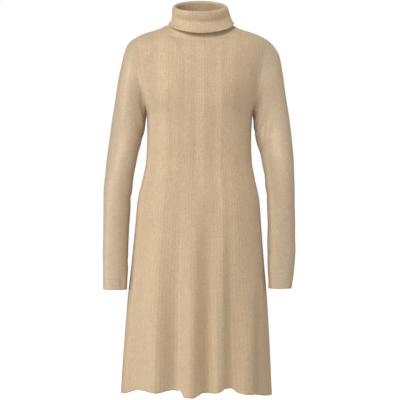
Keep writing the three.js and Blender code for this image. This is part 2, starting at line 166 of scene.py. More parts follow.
# Height of the front's hem across, which steps where a fold turns under.
FRONT_HEM = table(
    "x z",
    (-200.5, -966),
    (-186, -962),
    (-144, -948.6),
    (-104, -952.8),
    (-64, -946.6),
    (-44, -946.4),
    (-37.5, -950),
    (-34, -958.8),
    (-30, -962.2),
    (-8, -962.7),
    (5, -958.4),
    (18, -953.1),
    (48, -951.8),
    (63, -948.4),
    (69.5, -944.6),
    (74, -942),
    (88.5, -942),
    (106.5, -953.2),
    (129, -957.8),
    (153.5, -959.6),
    (158.5, -962.8),
    (200.5, -972),
)

# Soft swellings and hollows of the cloth: place, height, reach across and up. The first two of the front
# are the fullness that the cut gives the bust, and the others are slack and pull between seams.
SPOTS = {
    "front": table(
        "x z height across up",
        (-74, -172, 9, 62, 66),
        (74, -172, 9, 62, 66),
        (-118, -236, -3.5, 34, 40),
        (120, -232, -4, 36, 42),
        (-60, -262, -2.5, 60, 34),
        (66, -268, -2.5, 56, 30),
        (-96, -396, 2, 60, 26),
        (84, -420, 2.5, 66, 30),
        (10, -352, -1.5, 70, 30),
    ),
    "back": table(
        "x z height across up",
        (-70, -120, 3, 60, 60),
        (72, -124, 3, 60, 60),
        (0, -330, -5, 60, 90),
        (-70, -372, 3, 50, 18),
        (60, -400, 3, 60, 18),
        (-116, -238, -3, 34, 40),
        (118, -238, -3, 34, 40),
    ),
}

SLEEVE_NAMES = "out_x out_z in_x in_z depth y round"
SLEEVES = {
    "right": table(
        SLEEVE_NAMES,
        (181, -39, 140.6, -240.5, 54.5, 0, 0.1),
        (193, -55, 141.4, -249, 53.5, 0, 0.25),
        (201.5, -80, 143.4, -262, 53, 0, 0.45),
        (210.5, -118, 147.3, -280, 53, 0, 0.7),
        (219, -165, 152.6, -303, 52.5, 0, 0.9),
        (230, -240, 162, -335, 51, 0, 1),
        (240.5, -312, 169.5, -372, 48, -1, 1),
        (248.5, -378, 176, -412, 45, -3, 1),
        (253.5, -445, 181.5, -462, 42, -7, 1),
        (254, -515, 184.5, -520, 39, -13, 1),
        (254, -580, 187.5, -582, 36, -22, 1),
        (253.5, -640, 188, -640, 33, -32, 1),
        (252.6, -694, 189.5, -694, 30, -42, 1),
    ),
    "left": table(
        SLEEVE_NAMES,
        (182, -39, 140.6, -240.5, 53, 0, 0.1),
        (198, -55, 141.2, -249, 51.5, 0, 0.25),
        (212, -80, 142.6, -262, 51, 0, 0.45),
        (219.5, -118, 145.6, -280, 51, 0, 0.7),
        (226, -165, 149.5, -303, 50.5, 0, 0.9),
        (237, -240, 160, -335, 51, 0, 1),
        (246, -312, 168, -372, 48, -1, 1),
        (250.5, -378, 174, -412, 45, -3, 1),
        (251.5, -445, 178, -462, 42, -7, 1),
        (252.5, -515, 179.5, -520, 39, -13, 1),
        (252.5, -580, 178.5, -582, 36, -22, 1),
        (249, -640, 179.2, -640, 33, -32, 1),
        (241.4, -691, 180.5, -691, 30, -42, 1),
    ),
}

# Creases of each sleeve: place down the arm and round it (0 outer, 0.25 back on the left sleeve and front
# on the right), height, half length round the arm, half width along it, and slant.
CREASES = {
    "right": table(
        "down turn height long wide slant",
        (0.045, 0.42, -3.6, 0.13, 0.020, 0.10),
        (0.12, 0.44, 1.6, 0.15, 0.020, 0.22),
        (0.17, 0.42, -1.8, 0.15, 0.018, 0.20),
        (0.30, 0.60, 1.2, 0.15, 0.018, -0.06),
        (0.47, 0.40, -0.9, 0.12, 0.012, 0.05),
        (0.52, 0.44, 1.3, 0.14, 0.016, 0.05),
        (0.57, 0.52, -1.4, 0.13, 0.016, -0.03),
        (0.63, 0.40, 1.1, 0.13, 0.016, 0.04),
        (0.87, 0.48, -1.4, 0.12, 0.014, 0.03),
        (0.97, 0.345, -2.6, 0.045, 0.030, 0),
        (0.97, 0.41, 1.6, 0.040, 0.030, 0),
    ),
    "left": table(
        "down turn height long wide slant",
        (0.045, 0.60, -5.0, 0.16, 0.024, -0.10),
        (0.105, 0.58, -3.2, 0.12, 0.016, -0.30),
        (0.145, 0.60, 1.6, 0.15, 0.016, -0.24),
        (0.185, 0.62, -1.8, 0.16, 0.016, -0.16),
        (0.24, 0.66, 1.2, 0.18, 0.014, -0.10),
        (0.29, 0.62, -1.1, 0.16, 0.014, -0.08),
        (0.38, 0.42, 1.1, 0.14, 0.018, 0.05),
        (0.50, 0.56, 1.3, 0.15, 0.016, -0.05),
        (0.56, 0.46, -1.2, 0.13, 0.016, 0.04),
        (0.66, 0.58, 1.0, 0.12, 0.016, 0.03),
        (0.84, 0.58, -1.2, 0.12, 0.014, 0.03),
        (0.93, 0.62, 1.2, 0.10, 0.014, -0.03),
    ),
}

# The collar's middle surface from the neck seam up the stand, over the roll and down the fall.
COLLAR = table(
    "half middle front back side front_z back_z",
    (93.8, 0, 75, 58.4, -0.5, -42.6, 20.8),
    (84, 0, 71.5, 56.5, 3, -33, 26),
    (75, 0, 65, 53.5, 10.5, -20, 33),
    (69, 0, 60, 50.5, 25, -3, 48),
    (64.5, 0, 58.5, 48, 43, 14, 61),
    (63.5, 0, 59, 46.5, 49, 24, 69),
    (66.5, 0.5, 65, 49.5, 53.5, 30.5, 74),
    (71, 1.5, 74.5, 54, 51.5, 26, 72),
    (74, 2.5, 71.5, 58, 42.5, 15.5, 61),
    (75.5, 3.5, 63.8, 60, 32, 3.5, 47),
    (79, 4.5, 69.5, 64.5, 18, -11.5, 33),
    (86, 5, 84.5, 69.5, 8, -26, 20),
)


# Numbers and surfaces


def smooth(xs, ys, x):
    """Monotone cubic through table rows: Hermite pieces whose slope at a row is the harmonic mean of the
    steps beside it, and zero where they turn."""
    order = np.argsort(xs)
    xs, ys = xs[order], ys[order]
    steps = np.diff(xs)
    rise = np.diff(ys) / steps
    slope = np.concatenate([rise[:1], np.zeros(len(rise) - 1), rise[-1:]])
    turn = rise[:-1] * rise[1:] <= 0
    slope[1:-1] = np.where(turn, 0, 2 * rise[:-1] * rise[1:] / np.where(turn, 1, rise[:-1] + rise[1:]))
    i = np.clip(np.searchsorted(xs, x) - 1, 0, len(steps) - 1)
    t = np.clip((x - xs[i]) / steps[i], 0, 1)
    return (
        ys[i] * (1 + 2 * t) * (1 - t) ** 2
        + ys[i + 1] * t * t * (3 - 2 * t)
        + steps[i] * (slope[i] * t * (1 - t) ** 2 - slope[i + 1] * t * t * (1 - t))
    )


def body(column, z):
    return smooth(BODY["z"], BODY[column], np.asarray(z, float))


def bump(offset):
    """A raised cosine: 1 in the middle, 0 from one reach away."""
    return np.where(np.abs(offset) < 1, np.cos(np.pi / 2 * np.clip(offset, -1, 1)) ** 2, 0)


def fold_sum(side, column, x, z):
    """The sum over the folds of a column of their table, each spread as a raised cosine across that grows
    from its start to the hem."""
    total = np.zeros(np.broadcast(x, z).shape)
    folds = FOLDS[side]
    for k, crest in enumerate(folds["x"]):
        down = np.clip((folds["top"][k] - z) / (folds["top"][k] - HEM_Z), 0, 1)
        reach = np.where(x < crest, folds["right"][k], folds["left"][k])
        total = total + folds[column][k] * down * (2 - down) * bump((x - crest) / reach)
    return total


def hem_height(side, x):
    """Height of the hem: in front it follows its own table, and behind it drops at each fold's crest."""
    if side == "front":
        return smooth(FRONT_HEM["x"], FRONT_HEM["z"], x)
    return HEM_Z - fold_sum(side, "dip", x, HEM_Z)


def slack(side, x, z):
    """The sum of the soft swellings, and a faint waviness of three crossing sine waves."""
    total = np.zeros(np.broadcast(x, z).shape)
    for cx, cz, height, across, up in zip(*SPOTS[side].values()):
        total = total + height * bump((x - cx) / across) * bump((z - cz) / up)
    phase = 0.0 if side == "front" else 1.7
    waves = (
        np.sin(x / 23 + z / 61 + phase)
        + np.sin(x / 41 - z / 37 + 2.1 * phase)
        + 0.7 * np.sin(z / 19 + x / 77 + phase)
    )
    return total + 0.25 * waves


def depth_at(side, x, z):
    """Distance of the cloth from the side seams' plane: depth times (1 - |x / half|^n)^(1/n)."""
    power = body("power", z)
    inside = np.clip(1 - (np.abs(x) / body("half", z)) ** power, 0, None) ** (1 / power)
    return (body(side, z) + fold_sum(side, "height", x, z) + slack(side, x, z)) * inside


def ridge_height(x):
    """Height at which the level section is as wide as x, found by halving."""
    low, high = np.full(np.shape(x), WIDEST_Z), np.full(np.shape(x), BODY["z"][0])
    for _ in range(HALVINGS):
        middle = (low + high) / 2
        wide = body("half", middle) > np.abs(x)
        low, high = np.where(wide, middle, low), np.where(wide, high, middle)
    return (low + high) / 2


def upper_edge(side, x):
    """The panel's upper edge: half an ellipse at the neck, tilted down in front and curving up behind, and
    the shoulder ridge beyond it."""
    across = np.sqrt(np.clip(1 - (x / NECK["half"]) ** 2, 0, None))
    if side == "front":
        rise = -NECK["front_tilt"] * NECK["front"] * across
    else:
        rise = NECK["back_tilt"] * NECK["back"] * across**NECK["back_power"]
    return np.where(np.abs(x) < NECK["half"] - 0.01, NECK["side"] + rise, ridge_height(x))


def even(values, lengths, count):
    """Row by row, the values at even steps of the running lengths."""
    lift = 2.0 * np.arange(len(lengths))[:, None]
    wanted = np.linspace(0, 1, count + 1) + lift
    share = lengths / lengths[:, -1:] + lift
    return np.interp(wanted.ravel(), share.ravel(), values.ravel()).reshape(wanted.shape)


def running(*coordinates):
    """Running length along each row of points."""
    steps = np.sqrt(sum(np.diff(c, axis=1) ** 2 for c in coordinates))
    return np.concatenate([np.zeros((len(steps), 1)), np.cumsum(steps, axis=1)], axis=1)


def normals_of(grid, wraps):
    """Unit normals: the cross product of the steps down the rows and along the columns."""
    down = np.gradient(grid, axis=0)
    if wraps:
        along = np.roll(grid, -1, axis=1) - np.roll(grid, 1, axis=1)
    else:
        along = np.gradient(grid, axis=1)
    out = np.cross(down, along)
    return out / np.maximum(np.linalg.norm(out, axis=2, keepdims=True), 1e-9)


# Meshes


def grid_mesh(name, grid, uv, wraps, keep=None):
    """A mesh of a grid's cells in metres, whose rows run down and whose columns run to the right as seen
    from outside. keep picks the points that stay. The uv map is named cloth."""
    rows, columns = grid.shape[:2]
    spans = columns if wraps else columns - 1
    i, j = np.meshgrid(np.arange(rows - 1), np.arange(spans), indexing="ij")
    right = (j + 1) % columns
    row, next_row = i * columns, (i + 1) * columns
    corners = np.stack([row + j, next_row + j, next_row + right, row + right], -1)
    faces = corners.reshape(-1, 4)
    uv_columns = np.stack([j, j, j + 1, j + 1], -1).reshape(-1, 4)
    uv_rows = np.stack([i, i + 1, i + 1, i], -1).reshape(-1, 4)
    if keep is not None:
        stays = keep.ravel()[faces].any(axis=1)
        faces, uv_columns, uv_rows = faces[stays], uv_columns[stays], uv_rows[stays]
    mesh = bpy.data.meshes.new(name)
    mesh.vertices.add(rows * columns)
    mesh.vertices.foreach_set("co", (grid.reshape(-1, 3) * MM).astype(np.float32).ravel())
    mesh.loops.add(faces.size)
    mesh.loops.foreach_set("vertex_index", faces.astype(np.int32).ravel())
    mesh.polygons.add(len(faces))
    mesh.polygons.foreach_set("loop_start", np.arange(0, faces.size, 4, dtype=np.int32))
    mesh.update(calc_edges=True)
    layer = mesh.uv_layers.new(name="cloth")
    layer.data.foreach_set("uv", uv[uv_rows, uv_columns].astype(np.float32).ravel())
    return mesh


def tidy_mesh(mesh, merge, closed=False):
    """Joins points that meet and drops loose ones. The faces of a closed mesh are turned out, and those of
    a sheet stay as they are."""
    work = bmesh.new()
    work.from_mesh(mesh)
    bmesh.ops.remove_doubles(work, verts=work.verts, dist=merge)
    bmesh.ops.dissolve_degenerate(work, edges=work.edges, dist=merge / 2)
    loose = [v for v in work.verts if not v.link_faces]
    bmesh.ops.delete(work, geom=loose, context="VERTS")
    if closed:
        bmesh.ops.recalc_face_normals(work, faces=work.faces)
    work.to_mesh(mesh)
    work.free()
    mesh.shade_smooth()


def seam_cord(name, path, radius, material):
    """The linked stitches along a closed seam: a tube round the path whose radius swells and shrinks with
    each stitch, and whose swelling runs round it as a twist does."""
    sides = 10
    step = np.roll(path, -1, axis=0) - np.roll(path, 1, axis=0)
    along = step / np.linalg.norm(step, axis=1, keepdims=True)
    first = np.cross(along, (0, 0, 1))
    first = first / np.maximum(np.linalg.norm(first, axis=1, keepdims=True), 1e-9)
    second = np.cross(along, first)
    length = np.cumsum(np.linalg.norm(np.roll(path, -1, axis=0) - path, axis=1))
    stitches = round(length[-1] / SEAM_STITCH)
    turn = 2 * np.pi * stitches * (length / length[-1])[:, None]
    angle = np.linspace(0, 2 * np.pi, sides, endpoint=False)
    reach = (radius * (1 + 0.22 * np.sin(turn + angle)))[..., None]
    ring = reach * (np.cos(angle)[:, None] * first[:, None] + np.sin(angle)[:, None] * second[:, None])
    grid = path[:, None] + ring
    grid = np.concatenate([grid, grid[:1]])
    uv = np.zeros((len(grid), sides + 1, 2))
    mesh = grid_mesh(name, grid, uv, True)
    tidy_mesh(mesh, 0.00002, closed=True)
    seam = bpy.data.objects.new(name, mesh)
    bpy.context.scene.collection.objects.link(seam)
    mesh.materials.append(material)
    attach(seam, "root")
    return seam


def cloth_piece(name, mesh, thickness, offset, material, node):
    """A sheet with its thickness: Solidify's rim closes the edges. It stands for the CAD node."""
    piece = bpy.data.objects.new(name, mesh)
    bpy.context.scene.collection.objects.link(piece)
    mesh.materials.append(material)
    solid = piece.modifiers.new("thickness", "SOLIDIFY")
    solid.thickness = thickness
    solid.offset = offset
    solid.use_even_offset = False
    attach(piece, "root")
    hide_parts(node)
    return piece


# The pieces' surfaces


def armhole_x(z):
    """Place across of the armhole's plane at height z."""
    share = (z - ARMHOLE_LOW[1]) / (ARMHOLE_TOP[1] - ARMHOLE_LOW[1])
    return ARMHOLE_LOW[0] + (ARMHOLE_TOP[0] - ARMHOLE_LOW[0]) * share


def panel_grid(side, ribs, rib_raise):
    """The front or back: rows down from the shoulder seams and neckline, columns along the ribs. Above the
    underarm a column keeps its place across and spreads toward the shoulders; below it the columns are
    evenly spaced along the cloth. Returns the ribbed and plain grids, the uv and the points inside."""
    count = ribs * COLUMNS_PER_RIB
    fine_x = -np.cos(np.linspace(0, np.pi, FINE_STEPS * count + 1))
    levels = np.linspace(UNDERARM_Z, HEM_Z, SKIRT_ROWS)[:, None]
    wide = fine_x * body("half", levels)
    low_x = even(wide, running(wide, depth_at(side, wide, levels)), count)
    bend = np.clip((HEM_BEND_Z - levels) / (HEM_BEND_Z - HEM_Z), 0, 1) ** 2
    low_z = levels + bend * (hem_height(side, low_x[-1]) - HEM_Z)
    low_x = low_x * body("half", low_z) / body("half", levels)

    share = np.linspace(-1, 1, count + 1)
    widest, narrow = body("half", np.array(WIDEST_Z)), body("half", np.array(UNDERARM_Z))
    top_x = widest * share
    edge = upper_edge(side, top_x)
    yoke = np.minimum(YOKE_Z, edge - 3)
    first = edge + (yoke - edge) * (np.linspace(0, 1, YOKE_ROWS)[:-1, None] ** 1.3)
    second = yoke + (UNDERARM_Z - yoke) * np.linspace(0, 1, CHEST_ROWS)[:-1, None]
    high_z = np.concatenate([first, second])
    spread = np.where(high_z > WIDEST_Z, 1, (body("half", high_z) - narrow) / (widest - narrow))
    high_x = low_x[0] + (top_x - low_x[0]) * spread

    x = np.concatenate([high_x, low_x])
    z = np.concatenate([high_z, low_z])
    cut = np.where(z > UNDERARM_Z, armhole_x(z), np.inf)
    inside = np.abs(x) < cut
    x = np.clip(x, -cut, cut)
    depth = depth_at(side, x, z)
    down = np.clip((UNDERARM_Z - z) / (UNDERARM_Z - HEM_Z), 0, 1)
    facing = -1 if side == "front" else 1
    plain = np.stack([x + HEM_SWAY * down, facing * depth, z], -1)
    u = np.broadcast_to(np.linspace(0, ribs, count + 1), x.shape)
    steps = np.linalg.norm(np.diff(plain, axis=0), axis=2)
    v = np.concatenate([np.zeros((1, count + 1)), np.cumsum(steps, axis=0)])
    if side == "back":
        plain, u, v, depth, inside = (part[:, ::-1] for part in (plain, u, v, depth, inside))
    near_seam = np.minimum(depth / 6, 1)
    rib = 0.5 - 0.5 * np.cos(2 * np.pi * u)
    hem_line = np.exp(-(((v[-1] - v - HEM_FACING) / 1.4) ** 2))
    relief = rib_raise * rib * (0.35 + 0.65 * near_seam) - 0.35 * hem_line
    ribbed = plain + normals_of(plain, False) * relief[..., None]
    ribbed[0] = plain[0]
    return ribbed, plain, np.stack([u, (v - v[-1:]) * MM * 100], -1), inside


def armhole_loop(sign, count):
    """The armhole's outline, evenly spaced: its height swings as a cosine from top to bottom and back, and
    the cloth's depth there gives its reach back and forward."""
    ends = []
    for outside in (BODY["z"][0], UNDERARM_Z):
        within, beyond = WIDEST_Z, outside
        for _ in range(HALVINGS):
            middle = (within + beyond) / 2
            if body("half", np.array(middle)) > armhole_x(middle):
                within = middle
            else:
                beyond = middle
        ends.append(within)
    top, low = ends
    angle = np.linspace(0, 2 * np.pi, 721)
    z = (top + low) / 2 + (top - low) / 2 * np.cos(angle)
    x = armhole_x(z)
    front = (angle > np.pi) == (sign > 0)
    y = np.where(front, -depth_at("front", x, z), depth_at("back", x, z))
    y[[0, 360, 720]] = 0
    points = np.stack([sign * x, y, z], -1)[None]
    lengths = running(*np.moveaxis(points, -1, 0))
    return np.stack([even(points[..., k], lengths, count)[0, :-1] for k in range(3)], -1)


def neck_points(angle):
    """Points of the neckline at angles round it."""
    in_front = np.sin(angle) < 0
    x = NECK["half"] * np.cos(angle)
    z = np.where(in_front, upper_edge("front", x * 0.9999), upper_edge("back", x * 0.9999))
    z = np.where(np.abs(np.sin(angle)) < 1e-6, NECK["side"], z)
    y = np.where(in_front, -depth_at("front", x, z), depth_at("back", x, z))
    return np.stack([x, y * (np.abs(np.sin(angle)) > 1e-6), z], -1)


def neck_loop(count):
    """The neck seam, evenly spaced: just within the neckline."""
    points = (neck_points(np.linspace(0, 2 * np.pi, 1441)) * (0.99, 0.99, 1) + (0, 0, 0.4))[None]
    lengths = running(*np.moveaxis(points, -1, 0))
    return np.stack([even(points[..., k], lengths, count)[0, :-1] for k in range(3)], -1)


def sleeve_grid(side, sign):
    """The sleeve: its first ring is the armhole's outline, and each later one is an ellipse between its
    outer and inner points, blended from the first one's shape. Creases are ridges and troughs laid round
    the arm."""
    columns, rows = SLEEVE_COLUMNS, SLEEVE_ROWS
    loop = armhole_loop(sign, columns)
    up = np.array([sign * (ARMHOLE_TOP[0] - ARMHOLE_LOW[0]), 0, ARMHOLE_TOP[1] - ARMHOLE_LOW[1]])
    reach = np.linalg.norm(loop[0] - loop[columns // 2]) / 2
    middle = (loop[0] + loop[columns // 2]) / 2
    rings = SLEEVES[side]
    first = {
        "out_x": sign * loop[0, 0],
        "out_z": loop[0, 2],
        "in_x": sign * loop[columns // 2, 0],
        "in_z": loop[columns // 2, 2],
        "depth": np.abs(loop[:, 1]).max(),
        "y": 0,
        "round": 0,
    }
    values = {name: np.concatenate([[first[name]], column]) for name, column in rings.items()}
    centre_x, centre_z = (values["out_x"] + values["in_x"]) / 2, (values["out_z"] + values["in_z"]) / 2
    place = np.concatenate([[0], np.cumsum(np.hypot(np.diff(centre_x), np.diff(centre_z)))])
    along = np.linspace(0, 1, rows) * place[-1]
    ring = {name: smooth(place, column, along)[:, None] for name, column in values.items()}
    angle = np.linspace(0, 2 * np.pi, columns, endpoint=False)
    lift = (loop - middle) @ up / np.linalg.norm(up) / reach
    swing = loop[:, 1] / np.abs(loop[:, 1]).max()
    cap_share = ring["round"]
    rise = lift + (np.cos(angle) - lift) * cap_share
    across = swing + (sign * np.sin(angle) - swing) * cap_share
    x = (ring["out_x"] + ring["in_x"]) / 2 + (ring["out_x"] - ring["in_x"]) / 2 * rise
    z = (ring["out_z"] + ring["in_z"]) / 2 + (ring["out_z"] - ring["in_z"]) / 2 * rise
    y = ring["y"] + ring["depth"] * across
    plain = np.stack([sign * x, y, z], -1)
    down = np.linspace(0, 1, rows)[:, None]
    turn = angle / (2 * np.pi)
    relief = 0.2 * (np.sin(down * 47 + 6.28 * turn) + np.sin(down * 23 - 12.57 * turn + 1))
    for c_down, c_turn, height, long, wide, slant in zip(*CREASES[side].values()):
        off = (turn - c_turn + 0.5) % 1 - 0.5
        relief = relief + height * bump(off / long) * bump((down - c_down - slant * off) / (2.2 * wide))
    relief = relief * np.clip(down / 0.02, 0, 1) * np.clip((1 - down) / 0.015, 0.6, 1)
    grid = plain + normals_of(plain, True) * relief[..., None]
    lengths = np.cumsum(np.linalg.norm(np.diff(plain, axis=0), axis=2).mean(axis=1))
    v = np.concatenate([[0], lengths])[:, None] * MM * 100
    u = np.broadcast_to(np.linspace(0, columns, columns + 1) / 2, (rows, columns + 1))
    return grid, plain, np.stack([u, np.broadcast_to(v, u.shape)], -1)


def collar_grid(ribs, rib_raise):
    """The collar: rings between the table's, each an ellipse with its own reach forward and back, whose
    height runs with the sine of the turn. The lowest rings are drawn to the neckline. Light ribs stand on
    the side that shows."""
    columns = ribs * COLUMNS_PER_RIB
    steps = np.hypot(np.diff(COLLAR["front"]), np.diff(COLLAR["front_z"]))
    place = np.concatenate([[0], np.cumsum(steps)])
    along = np.linspace(0, place[-1], COLLAR_ROWS)
    ring = {name: smooth(place, column, along)[:, None] for name, column in COLLAR.items()}
    angle = np.linspace(0, 2 * np.pi, columns, endpoint=False)
    forward = np.clip(-np.sin(angle), 0, None)
    backward = np.clip(np.sin(angle), 0, None)
    x = ring["middle"] + ring["half"] * np.cos(angle)
    y = ring["back"] * backward - ring["front"] * forward
    z = (
        ring["side"]
        + (ring["front_z"] - ring["side"]) * forward
        + (ring["back_z"] - ring["side"]) * backward
    )
    plain = np.stack([x, y, z], -1)
    inset = np.array([1 - COLLAR_INSET / NECK["half"], 1 - COLLAR_INSET / NECK["front"], 1])
    sewn = neck_points(angle) * inset + (0, 0, COLLAR_LIFT)
    fade = np.interp(along, place[: len(STAND_FADE)], STAND_FADE)[:, None, None]
    plain = plain + (sewn - plain[0]) * fade
    share = (along / place[-1])[:, None]
    rib = 0.5 - 0.5 * np.cos(ribs * angle)
    wave = 0.4 * np.sin(3 * angle + 9 * share) + 0.3 * np.sin(5 * angle - 7 * share + 1)
    relief = rib_raise * rib * np.clip(share / 0.05, 0, 1) * np.clip((1 - share) / 0.04, 0, 1)
    relief = relief + wave * np.clip((share - 0.5) * 4, 0, 1)
    grid = plain + normals_of(plain, True) * relief[..., None]
    u = np.broadcast_to(np.linspace(0, ribs, columns + 1), (len(along), columns + 1))
    v = np.broadcast_to(along[:, None] * MM * 100, u.shape)
    return grid, plain, np.stack([u, v], -1)


# Materials


def linear(hex_colour):
    """An sRGB hex colour as linear red, green, blue and alpha."""
    channels = [int(hex_colour[k : k + 2], 16) / 255 for k in (1, 3, 5)]
    return tuple(c / 12.92 if c <= 0.04045 else ((c + 0.055) / 1.055) ** 2.4 for c in channels) + (1.0,)


def add(tree, kind, links=None, **settings):
    """Adds a node; links gives each input by name or number an output or a value."""
    node = tree.nodes.new(kind)
    for name, value in settings.items():
        setattr(node, name, value)
    for key, value in (links or {}).items():
        if isinstance(value, bpy.types.NodeSocket):
            tree.links.new(value, node.inputs[key])
        else:
            node.inputs[key].default_value = value
    return node


def maths(tree, operation, *values):
    return add(tree, "ShaderNodeMath", dict(enumerate(values)), operation=operation).outputs[0]


def melange(tree, yarn, dark, light, coordinates, painted_lightening=0.0):
    """Heathered wool: fibres dyed in lighter and darker beiges are spun together, so the eye sees fine
    flecks, drawn about 2 mm wide to show, and soft drifts of shade one or two centimetres wide. The last
    argument is a share of light fibres added everywhere: painted light, so a piece looks more lit."""
    flecks = add(
        tree,
        "ShaderNodeTexNoise",
        {"Vector": coordinates, "Scale": FLECK_SCALE, "Detail": 2.0, "Roughness": 0.7},
    )
    drift = add(
        tree,
        "ShaderNodeTexNoise",
        {"Vector": coordinates, "Scale": DRIFT_SCALE, "Detail": 4.0, "Roughness": 0.75},
    )
    mixed = add(
        tree,
        "ShaderNodeMix",
        {0: maths(tree, "MULTIPLY_ADD", drift.outputs["Fac"], 1.3, -0.15), 6: yarn, 7: dark},
        data_type="RGBA",
    )
    fleck = add(
        tree,
        "ShaderNodeMapRange",
        {0: flecks.outputs["Fac"], 1: 0.42, 2: 0.68, 3: painted_lightening, 4: painted_lightening + 0.55},
    )
    wool = add(
        tree,
        "ShaderNodeMix",
        {0: fleck.outputs[0], 6: mixed.outputs[2], 7: light},
        data_type="RGBA",
    )
    return wool.outputs[2]


def knit(name, settings, wales, stitch_mm, rib_depth, stitch_depth, painted_lightening=0.0):
    """Knitted wool, matte with a soft fibre halo. wales is the stitch columns in one unit of u, and v
    runs down the cloth in tenths of a metre. The stitches are V shapes: a sine down the wale whose phase
    runs back toward the wale's edges."""
    material = bpy.data.materials.new(name)
    material.use_nodes = True
    tree = material.node_tree
    tree.nodes.clear()
    uv = add(tree, "ShaderNodeUVMap", uv_map="cloth")
    parts = add(tree, "ShaderNodeSeparateXYZ", {0: uv.outputs[0]})
    place = add(tree, "ShaderNodeTexCoord").outputs["Object"]
    across = maths(tree, "FRACT", maths(tree, "MULTIPLY", parts.outputs[0], float(wales)))
    off_middle = maths(tree, "ABSOLUTE", maths(tree, "SUBTRACT", across, 0.5))
    rows = maths(tree, "MULTIPLY", parts.outputs[1], 2 * math.pi * 100 / stitch_mm)
    vee = maths(tree, "SINE", maths(tree, "ADD", rows, maths(tree, "MULTIPLY", off_middle, VEE_LEAN)))
    fade = maths(tree, "SUBTRACT", 1.0, maths(tree, "MULTIPLY", off_middle, VEE_FADE))
    loop = maths(tree, "MULTIPLY", vee, fade)
    rib_wave = maths(tree, "COSINE", maths(tree, "MULTIPLY", parts.outputs[0], 2 * math.pi))
    rib = maths(tree, "MULTIPLY_ADD", rib_wave, -0.5, 0.5)
    hair = add(
        tree,
        "ShaderNodeTexNoise",
        {"Vector": place, "Scale": HAIR_SCALE, "Detail": 3.0, "Roughness": 0.8},
    )
    height = maths(
        tree,
        "ADD",
        maths(tree, "MULTIPLY", rib, rib_depth),
        maths(
            tree,
            "ADD",
            maths(tree, "MULTIPLY", loop, stitch_depth),
            maths(tree, "MULTIPLY", hair.outputs["Fac"], 0.5),
        ),
    )
    relief = add(tree, "ShaderNodeBump", {"Height": height, "Strength": 0.9, "Distance": KNIT_BUMP})
    colour = melange(tree, linear(settings.yarn), linear(settings.dark), linear(settings.light), place, painted_lightening)
    # Painted shade: the channels between the ribs and the hollows between stitches are mixed toward the
    # darker channel colour, standing for the shade that falls in them.
    shade = maths(
        tree,
        "ADD",
        maths(tree, "MULTIPLY", maths(tree, "SUBTRACT", 1.0, rib), CHANNEL_SHADE if rib_depth else 0.0),
        maths(tree, "MULTIPLY", maths(tree, "SUBTRACT", 0.5, loop), STITCH_SHADE),
    )
    painted_shade_mix = add(tree, "ShaderNodeMix", {0: shade, 6: colour, 7: linear(settings.painted_shade)}, data_type="RGBA")
    shader = add(
        tree,
        "ShaderNodeBsdfPrincipled",
        {
            "Base Color": painted_shade_mix.outputs[2],
            "Roughness": 0.95,
            "IOR": 1.5,
            "Specular IOR Level": 0.15,
            "Sheen Weight": 0.35,
            "Sheen Roughness": 0.5,
            "Sheen Tint": linear(settings.light),
            "Normal": relief.outputs[0],
        },
    )
    add(tree, "ShaderNodeOutputMaterial", {"Surface": shader.outputs[0]})
    return material


def ribbed_wool(settings):
    """Fine ribbed wool knit: raised ribs with sunk channels between them, whose shade is painted into the
    colour.
    """
    return knit("ribbed wool knit", settings, wales=2, stitch_mm=2.8, rib_depth=0.2, stitch_depth=0.3)


def plain_wool(settings):
    """Plain wool knit of the sleeves: level rows of small stitches, without channels or their painted shade,
    and with extra light fibres as painted light, so the sleeves look lighter and more lit.
    """
    # Painted light: extra light fibres everywhere make the sleeves look more lit than the body.
    return knit(
        "plain wool knit", settings, wales=1, stitch_mm=3.2, rib_depth=0.0, stitch_depth=0.45, painted_lightening=0.14
    )


def collar_wool(settings):
    """The collar's softer rib, whose ribs barely show."""
    return knit("collar wool knit", settings, wales=2, stitch_mm=2.8, rib_depth=0.06, stitch_depth=0.3)


def seam_yarn(settings):
    """Linking yarn of the seams: the same wool, twisted tighter, so the seam reads as a fine rough line."""
    material = bpy.data.materials.new("linking yarn")
    material.use_nodes = True
    tree = material.node_tree
    tree.nodes.clear()
    place = add(tree, "ShaderNodeTexCoord").outputs["Object"]
    colour = melange(tree, linear(settings.yarn), linear(settings.dark), linear(settings.light), place)
    hair = add(tree, "ShaderNodeTexNoise", {"Vector": place, "Scale": HAIR_SCALE, "Detail": 2.0})
    relief = add(tree, "ShaderNodeBump", {"Height": hair.outputs["Fac"], "Strength": 0.5, "Distance": 0.0004})
    shader = add(
        tree,
        "ShaderNodeBsdfPrincipled",
        {
            "Base Color": colour,
            "Roughness": 0.95,
            "Specular IOR Level": 0.15,
            "Sheen Weight": 0.3,
            "Normal": relief.outputs[0],
        },
    )
    add(tree, "ShaderNodeOutputMaterial", {"Surface": shader.outputs[0]})
    return material


